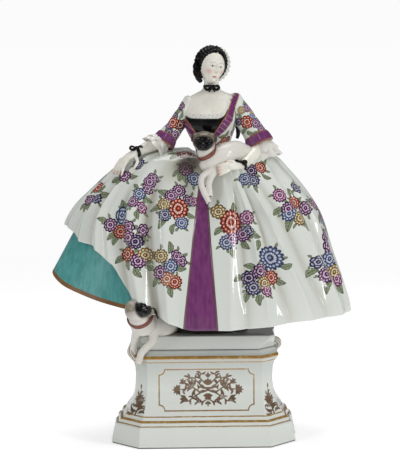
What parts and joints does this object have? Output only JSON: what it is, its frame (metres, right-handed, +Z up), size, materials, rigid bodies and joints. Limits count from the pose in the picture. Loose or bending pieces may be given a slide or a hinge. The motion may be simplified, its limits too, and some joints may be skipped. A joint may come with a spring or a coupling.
{
  "type": "porcelain crinoline lady figure",
  "caption": "Glazed porcelain figure of a standing lady in a wide hooped gown, a small dog on her lap and one at her feet, on a waisted rectangular pedestal with canted corners.",
  "frame": {"origin": "centre of the pedestal's flat underside", "axes": "+Z up, +X to the lady's left (the viewer's right), -Y to the viewer and the way the lady faces"},
  "size_m": [0.217, 0.12, 0.2855],
  "materials": {
    "figure_glaze": "clear glaze over painted white porcelain",
    "pedestal_glaze": "clear glaze over white porcelain with gilding"
  },
  "bodies": {
    "root": {"lady_figure": "figure_glaze", "pedestal": "pedestal_glaze"}
  },
  "joints": []
}
